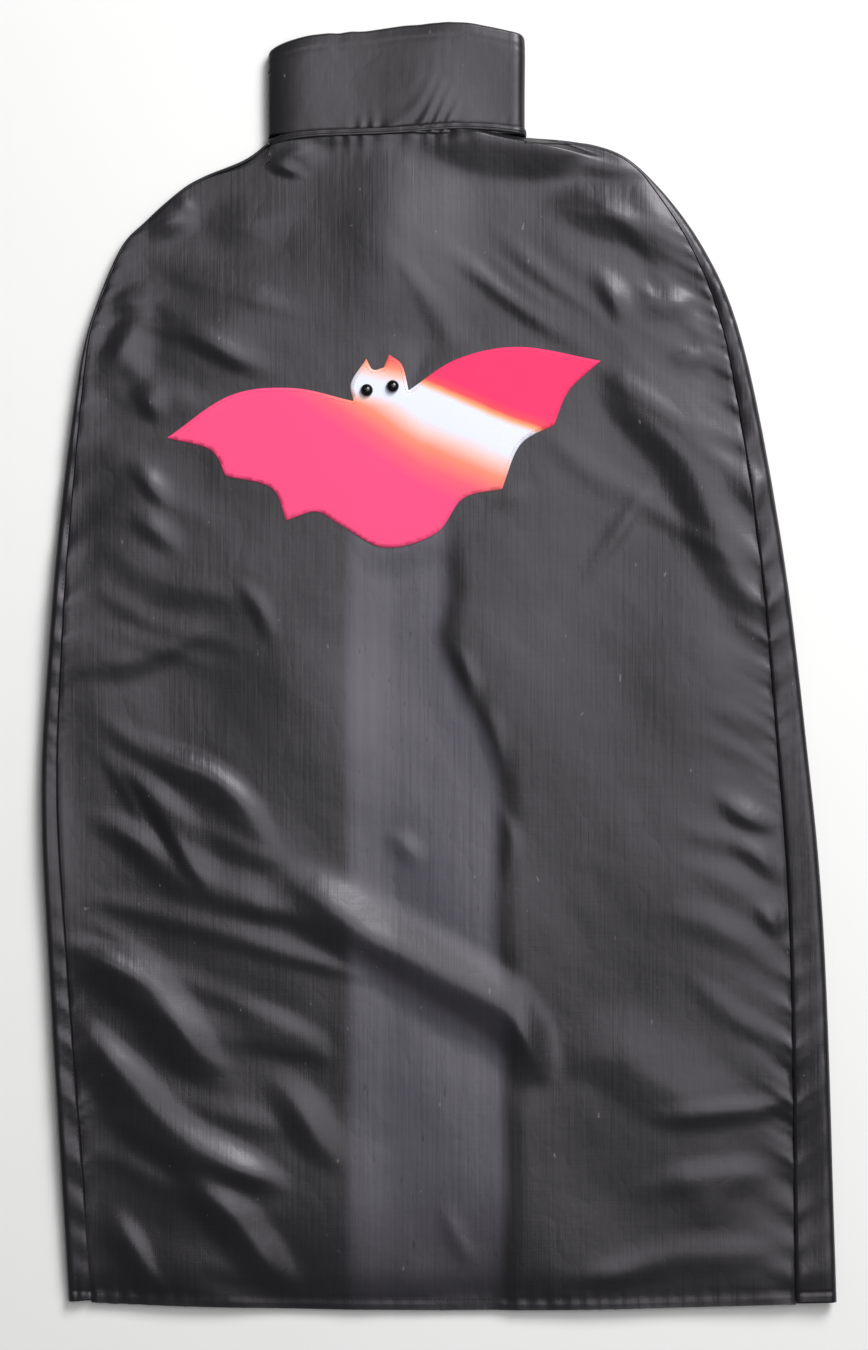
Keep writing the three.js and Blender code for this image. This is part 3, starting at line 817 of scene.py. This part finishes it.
# ---------- the fronts
def make_front(side):
    """One front: from its seam on the back, round the side fold, and under the back to its opening edge."""
    sign = -1 if side == "left" else 1
    down = spread(CAPE_DROP, 4.2, 10, 1.4)
    fold = side_fold(side, down)
    inward = inward_of(side, fold)
    wrap = wrap_width(side, fold[:, 1])
    radius = np.minimum((TOP + EDGE_RISE[side] - UNDER) / 2, wrap * 0.6)
    edge = opening_edge(side, down)
    apex, along = hinge(f"{side}_front_open")
    normal = np.array([-along[1], along[0]])
    normal = normal if normal[0] * sign < 0 else -normal

    columns = []
    for share in np.linspace(0, 1, 9):            # from the seam out to the side fold
        inset = wrap + (radius - wrap) * share
        place = fold + inward * inset[:, None]
        z = back_height(place[:, 0], place[:, 1])
        z = z + seam_pucker(wrap - inset, -place[:, 1], SEAM_STRENGTH[side])
        columns.append(np.column_stack([place, z]))
    crown = columns[-1][:, 2]
    for turn in np.linspace(0, math.pi, 9)[1:]:   # round the side fold
        reach = radius * (1 - math.sin(turn))
        lower = (1 - math.cos(turn)) / 2
        place = fold + inward * reach[:, None]
        columns.append(np.column_stack([place, crown * (1 - lower) + UNDER * lower]))
    start = columns[-1][:, :2]
    for share in spread(FRONT_WIDTH, 4.4, 5, 2.0)[1:]:    # under the back, to the opening edge
        place = start + (edge - start) * share
        out = (place - apex) @ normal
        z = FLOOR_LAYER + (UNDER - FLOOR_LAYER) * (1 - step(-10, 3, out))
        z = z + 0.2 * np.sin(place[:, 0] / 13 + place[:, 1] / 29) * step(0, 30, np.abs(out))
        columns.append(np.column_stack([place, z]))
    turned = columns[-1]
    for share in (0.04, 0.5, 0.9, 1.0):           # the edge, turned back on itself
        place = turned[:, :2] + (sign * FRONT_HEM_DEPTH * share, 0)
        lift = 0.75 - 0.25 * (share == 1.0)
        columns.append(np.column_stack([place, turned[:, 2] + lift]))
    grid = np.stack(columns, axis=1)
    piece = cloth_piece(f"{side}_front_cloth", grid, front_satin, flip=(side == "right"))
    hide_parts(f"{side}_front_panel", f"{side}_front_fold", f"{side}_front_flap")
    # A tilt across the line that it folds open on is worked out here, but nothing uses it; the cloth stays
    # in one piece
    tilt = np.array([*normal, -5.0])
    tilt /= np.linalg.norm(tilt)
    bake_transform(piece)
    # The rows of stitches stop short of the corners
    flap = f"{side}_flap"
    threads = f"{side}_front_edge_thread"
    edge_line = turned[24:-24] + (sign * (FRONT_HEM_DEPTH - 1.5), 0, 0.85)
    stitches(f"{side}_front_edge_stitches", [edge_line], flap, black_thread, [threads])
    hem_line = grid[-1, 12:-6] + (0, HEM_DEPTH, 0.15)
    hem_line = hem_line[(hem_line[:, :2] - apex) @ normal > 6]
    stitches(f"{side}_front_hem_stitches", [hem_line], flap, black_thread, [f"{side}_hem_thread"])
    seam = side_seam(side, np.linspace(0.02, 0.985, 260))
    line = laid_on_back(seam - inward_of(side, seam) * 1.4, -0.35)
    threads = f"{side}_side_seam_thread"
    stitches(f"{side}_side_seam_stitches", [line], "cape_body", black_thread, [threads], pitch=3.6)


# ---------- the collar and its band
FRONT_GAP = 48.0                               # between the collar's two front ends, underneath
LEFT_ROUNDING, RIGHT_ROUNDING = 32.0, 9.0      # how far in from its side folds its back curves down


def collar_ring(counts):
    """The flattened collar's ring, from its left front edge underneath, over the back, to its right one.

    Gives the places across, the heights, and the inward direction at each. The counts of places are for one
    half: underneath, on each quarter turn, and twice those on top."""
    radius = COLLAR_DEPTH / 2
    side = (collar_high[0] - collar_low[0]) / 2
    under, turn, over = counts
    quarter = np.linspace(0, math.pi / 2, turn, endpoint=False)

    def half_ring(rounding, toward):
        x = [
            np.linspace(FRONT_GAP / 2, side - radius, under, endpoint=False),
            side - radius + radius * np.sin(quarter),
            side - rounding * (1 - np.cos(quarter)),
            np.linspace(side - rounding, 0, over // 2, endpoint=False),
        ]
        z = [
            np.full(under, -radius),
            -radius * np.cos(quarter),
            radius * np.sin(quarter),
            np.full(over // 2, radius),
        ]
        return toward * np.concatenate(x), np.concatenate(z)

    left_x, left_z = half_ring(LEFT_ROUNDING, -1)
    right_x, right_z = half_ring(RIGHT_ROUNDING, 1)
    x = np.concatenate([left_x, [0], right_x[::-1]])
    z = np.concatenate([left_z, [radius], right_z[::-1]])
    tangent = np.stack([np.gradient(x), np.gradient(z)], axis=1)
    tangent /= np.linalg.norm(tangent, axis=1, keepdims=True)
    return x + NECK_X, z + COLLAR_MID_Z, np.stack([tangent[:, 1], -tangent[:, 0]], axis=1)


def collar_top_side(z):
    """1 on the layer that shows, 0 on the one underneath."""
    return step(COLLAR_MID_Z - 4, COLLAR_MID_Z + 4, z)


def collar_sheet(name, rows, material, thickness, node):
    """A layer of the collar from rows of (height above its base or depth below its rim, distance in)."""
    x, z, inward = collar_ring((18, 10, 90))
    shows = collar_top_side(z)
    pinch = 0.5 * np.sin(x / 4.3 + 2 * np.sin(x / 13)) * np.sin(x / 31) * shows
    rim = height_of(RIM_LINE, x) + pinch
    band = height_of(BAND_LINE, x) * shows + binding_high[1] * (1 - shows)
    lines = []
    for kind, amount, inset in rows:
        y = np.full(x.shape, COLLAR_BASE + amount) if kind == "base" else rim - amount
        depth = np.full(x.shape, float(inset))
        # Gathers above the band, upright on the left and slanting in the middle, where they reach higher
        slant = 0.69 * step(-45, -20, x)
        gather = np.sin((x - slant * (y - band)) / 2.3 + 2.2 * np.sin(x / 9))
        reach = 5 + 10 * step(-40, -15, x) * step(22, 0, x)
        gathered = 0.2 + 0.8 * step(-80, -50, x) * step(30, 5, x)
        depth += shows * 0.6 * gather * np.exp(-np.maximum(0, y - band) / reach) * gathered
        depth += shows * 0.4 * broad_ripples(x * 1.8, y * 1.8 + 90)
        depth += 1.1 * step(band + 1.5, band - 1.5, y)
        depth += shows * (0.9 * step(10, 0, rim - y) + 0.25 * np.exp(-(((rim - y - 10) / 1.6) ** 2)))
        spot = np.stack([x, z], axis=1) + inward * depth[:, None]
        lines.append(np.stack([spot[:, 0], y, spot[:, 1]], axis=1))
    grid = np.stack(lines, axis=0)
    piece = cloth_piece(name, grid, material, thickness=thickness)
    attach(piece, "collar")
    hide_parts(node)


def make_collar():
    """The collar's outer cloth, rolled over its rim, the stiffener behind it, and its lining."""
    low_rows, high_rows = np.arange(0, 24, 1.2), np.arange(24, 50, 2.6)
    outer = [("base", amount, 0) for amount in np.concatenate([low_rows, high_rows])]
    outer += [("rim", amount, 0) for amount in (18, 16, 14, 12, 10.5, 9.2, 8, 6.8, 5.4, 4, 2.8, 1.9)]
    for turn in np.linspace(0, math.pi, 9)[1:]:
        outer.append(("rim", 1.6 - 1.6 * math.sin(turn), 1.4 - 1.4 * math.cos(turn)))
    outer += [("rim", 4, 2.9), ("rim", 7, 2.95)]
    collar_sheet("collar_outer_cloth", outer, collar_satin, CLOTH, "collar_outer")
    middle = [("base", amount, 1.2) for amount in (0.5, 10, 20, 30, 40, 50)]
    middle += [("rim", 14, 1.2), ("rim", 9, 1.2)]
    collar_sheet("collar_stiffening", middle, non_woven, 0.6, "collar_interfacing")
    inner = [("base", amount, 2.2) for amount in np.arange(0, 50, 5)]
    inner += [("rim", 16, 2.2), ("rim", 8, 2.2), ("rim", 2.5, 2.0)]
    collar_sheet("collar_lining_cloth", inner, front_satin, CLOTH, "collar_inner")


def make_band():
    """The folded band over the neck seam, with a row of stitches near each edge."""
    x, z, inward = collar_ring((14, 10, 150))
    shows = collar_top_side(z)
    upper = height_of(BAND_LINE, x) * shows + binding_high[1] * (1 - shows)
    rows = []
    # Across the band: share of its height, and how far in it lies
    profile = [(0, 0.9), (0.05, 0.1), (0.14, -0.15), (0.26, 0.2), (0.4, -0.3), (0.6, -0.35), (0.76, 0.15),
               (0.86, -0.2), (0.95, 0.1), (1, 0.9)]
    for share, inset in profile:
        y = upper - BAND_HEIGHT * (1 - share)
        depth = inset - 0.55 + 0.1 * np.sin(x / 2.7 + 2 * np.sin(x / 17))
        spot = np.stack([x, z], axis=1) + inward * depth[:, None]
        rows.append(np.stack([spot[:, 0], y, spot[:, 1]], axis=1))
    grid = np.stack(rows, axis=0)
    piece = cloth_piece("collar_band", grid, collar_satin)
    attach(piece, "cape_body")
    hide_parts("collar_binding")
    on_top = z > COLLAR_MID_Z + 4
    lines = [rows[k][on_top] + (0, 0, 0.12) for k in (3, 6)]
    stitches("collar_band_stitches", lines, "cape_body", black_thread, ["collar_binding_thread"],
             pitch=2.4, length=1.8, width=0.45)


def make_fastening():
    """The stitching round the hook patch and the loop patch."""
    for name in ("hook_patch", "loop_patch"):
        (left, lower, _), (right, upper, top) = box_mm(f"{name}_thread")
        corners = [(left, lower), (right, lower), (right, upper), (left, upper), (left, lower)]
        height = top - 0.25
        sides = [np.array([(*a, height), (*b, height)]) for a, b in zip(corners, corners[1:])]
        stitches(f"{name}_stitches", sides, "collar", black_thread, [f"{name}_thread"],
                 pitch=2.6, length=2.0, width=0.5)


# ---------- the bat
def bat_sheet(name, pitch, shrink, bottom, thickness, material, node):
    """A cloth cut to the bat's outline, laid on the back and pressed down along its stitched edge."""
    outline = bat_outline(pitch)
    outline = (outline - (BAT_X, BAT_Y)) * shrink + (BAT_X, BAT_Y)
    across = np.arange(bat_low[0] - 2, bat_high[0] + 2, 2.6)
    up = np.arange(bat_low[1] - 2, bat_high[1] + 2, 2.6)
    inner = np.array([(x + 1.3 * (i % 2), y) for i, y in enumerate(up) for x in across])
    margin = 1.5 + 2 * (1 - shrink) * 100 / 2
    inner = inner[inside_bat(inner[:, 0], inner[:, 1]) > margin]
    points = [Vector(p) for p in np.vstack([outline, inner])]
    ring = list(range(len(outline)))
    found, _, faces, *_ = delaunay_2d_cdt(points, [], [ring], 1, 1e-5)
    plan = np.array([p[:] for p in found])
    depth = inside_bat(plan[:, 0], plan[:, 1])
    top = back_height(plan[:, 0], plan[:, 1]) + bottom + thickness
    top -= 0.3 * np.exp(-((depth / 1.0) ** 2)) + 0.15 * np.exp(-(((depth - 2.3) / 0.8) ** 2))
    piece = new_piece(name, np.column_stack([plan, top]), [list(face) for face in faces], material)
    apply_modifier(piece, "SOLIDIFY", thickness=thickness * MM, offset=-1)
    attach(piece, "cape_body")
    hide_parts(node)


def make_bat():
    bat_sheet("bat_backing_cloth", 3.0, 0.985, 0.05, 0.4, non_woven, "bat_backing")
    bat_sheet("bat_cloth", 1.6, 1.0, 0.5, 0.6, printed, "bat_applique")
    outline = bat_outline(1.5)
    line = outline + normals_of(outline) * -2.3
    line = line[inside_bat(line[:, 0], line[:, 1]) > 2.0]
    # The row of stitches breaks off where the outline turns a sharp corner
    breaks = np.where(np.linalg.norm(np.diff(line, axis=0), axis=1) > 6)[0] + 1
    lines = [laid_on_back(part, 1.1) for part in np.split(line, breaks) if len(part) > 3]
    stitches("bat_edge_stitches", lines, "cape_body", pink_thread, ["bat_edge_thread"],
             pitch=2.3, length=1.7, width=0.32)


make_back()
for front in ("left", "right"):
    make_front(front)
make_collar()
make_band()
make_fastening()
make_bat()

CAD_FINISHES = {
    "left_eye": eye_gloss, "right_eye": eye_gloss, "left_eye_washer": washer_plastic,
    "right_eye_washer": washer_plastic, "hook_patch": hook_tape, "loop_patch": hook_tape,
}
for node, finish in CAD_FINISHES.items():
    for slot in frame["nodes"][node].material_slots:
        slot.material = finish


# ---------- floor, lights and camera
def add_floor():
    bpy.ops.mesh.primitive_plane_add(size=24, location=(0, 0, 0))
    floor = bpy.context.object
    floor.name = "floor"
    m = Nodes("white_board")
    shade = m.ramp(m.noise(3, 2), (0.3, (0.885, 0.885, 0.88)), (0.7, (0.905, 0.905, 0.9)))
    floor.data.materials.append(m.finish(Base_Color=shade, Roughness=0.7, Specular_IOR_Level=0.2))


def add_light(name, place, aim, size, power):
    light = bpy.data.lights.new(name, "AREA")
    light.shape = "SQUARE"
    light.size = size
    light.energy = power
    lamp = bpy.data.objects.new(name, light)
    lamp.location = place
    lamp.rotation_euler = (Vector(aim) - Vector(place)).to_track_quat("-Z", "Y").to_euler()
    bpy.context.scene.collection.objects.link(lamp)


def add_studio():
    world = bpy.data.worlds.new("studio")
    world.use_nodes = True
    background = world.node_tree.nodes["Background"]
    background.inputs["Color"].default_value = (1, 1, 1, 1)
    background.inputs["Strength"].default_value = 0.13
    bpy.context.scene.world = world
    add_light("window", (1.5, 2.3, 2.4), (0, 0, 0), 1.6, 118)
    add_light("ceiling", (1.0, 0.6, 3.5), (0.3, 0.1, 0), 2.8, 60)
    bpy.context.scene.view_settings.view_transform = "Standard"


def add_camera():
    view_height, lens, sensor = 1.0395, 85, 36
    middle = Vector((-0.0035, -0.0062, TOP * MM))
    data = bpy.data.cameras.new("camera")
    data.lens, data.sensor_width = lens, sensor
    camera = bpy.data.objects.new("camera", data)
    camera.location = middle + Vector((0, 0, lens * view_height / sensor))
    bpy.context.scene.collection.objects.link(camera)
    bpy.context.scene.camera = camera


add_floor()
add_studio()
add_camera()
